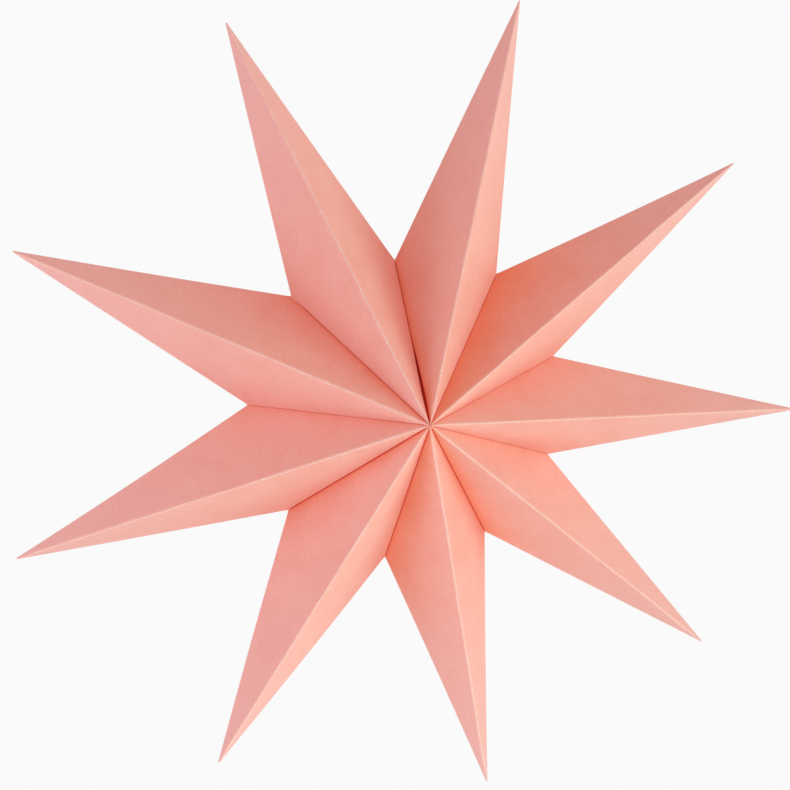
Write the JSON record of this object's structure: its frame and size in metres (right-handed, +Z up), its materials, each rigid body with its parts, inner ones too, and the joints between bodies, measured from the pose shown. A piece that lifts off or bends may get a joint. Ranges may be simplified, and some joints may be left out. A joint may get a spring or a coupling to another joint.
{
  "type": "paper star lantern",
  "caption": "Hollow folded card star with long pointed rays that meet at a raised hub on both faces, hung from its seam as a lampshade or window decoration.",
  "frame": {"origin": "the top valley of the star, between its two end points, in the middle of its depth: the place that the star is hung from", "axes": "+Z up along the seam, -Y towards the front, +X to the right as seen from the front"},
  "size_m": [0.2932, 0.0946, 0.2894],
  "materials": {
    "card": "matte",
    "tape": "satin"
  },
  "bodies": {
    "root": {"point_1": "card", "point_2": "card", "point_3": "card", "point_4": "card", "point_5": "card", "point_6": "card", "point_7": "card", "point_8": "card", "point_9": "card", "seam_tape_front": "tape", "seam_tape_back": "tape"}
  },
  "joints": []
}
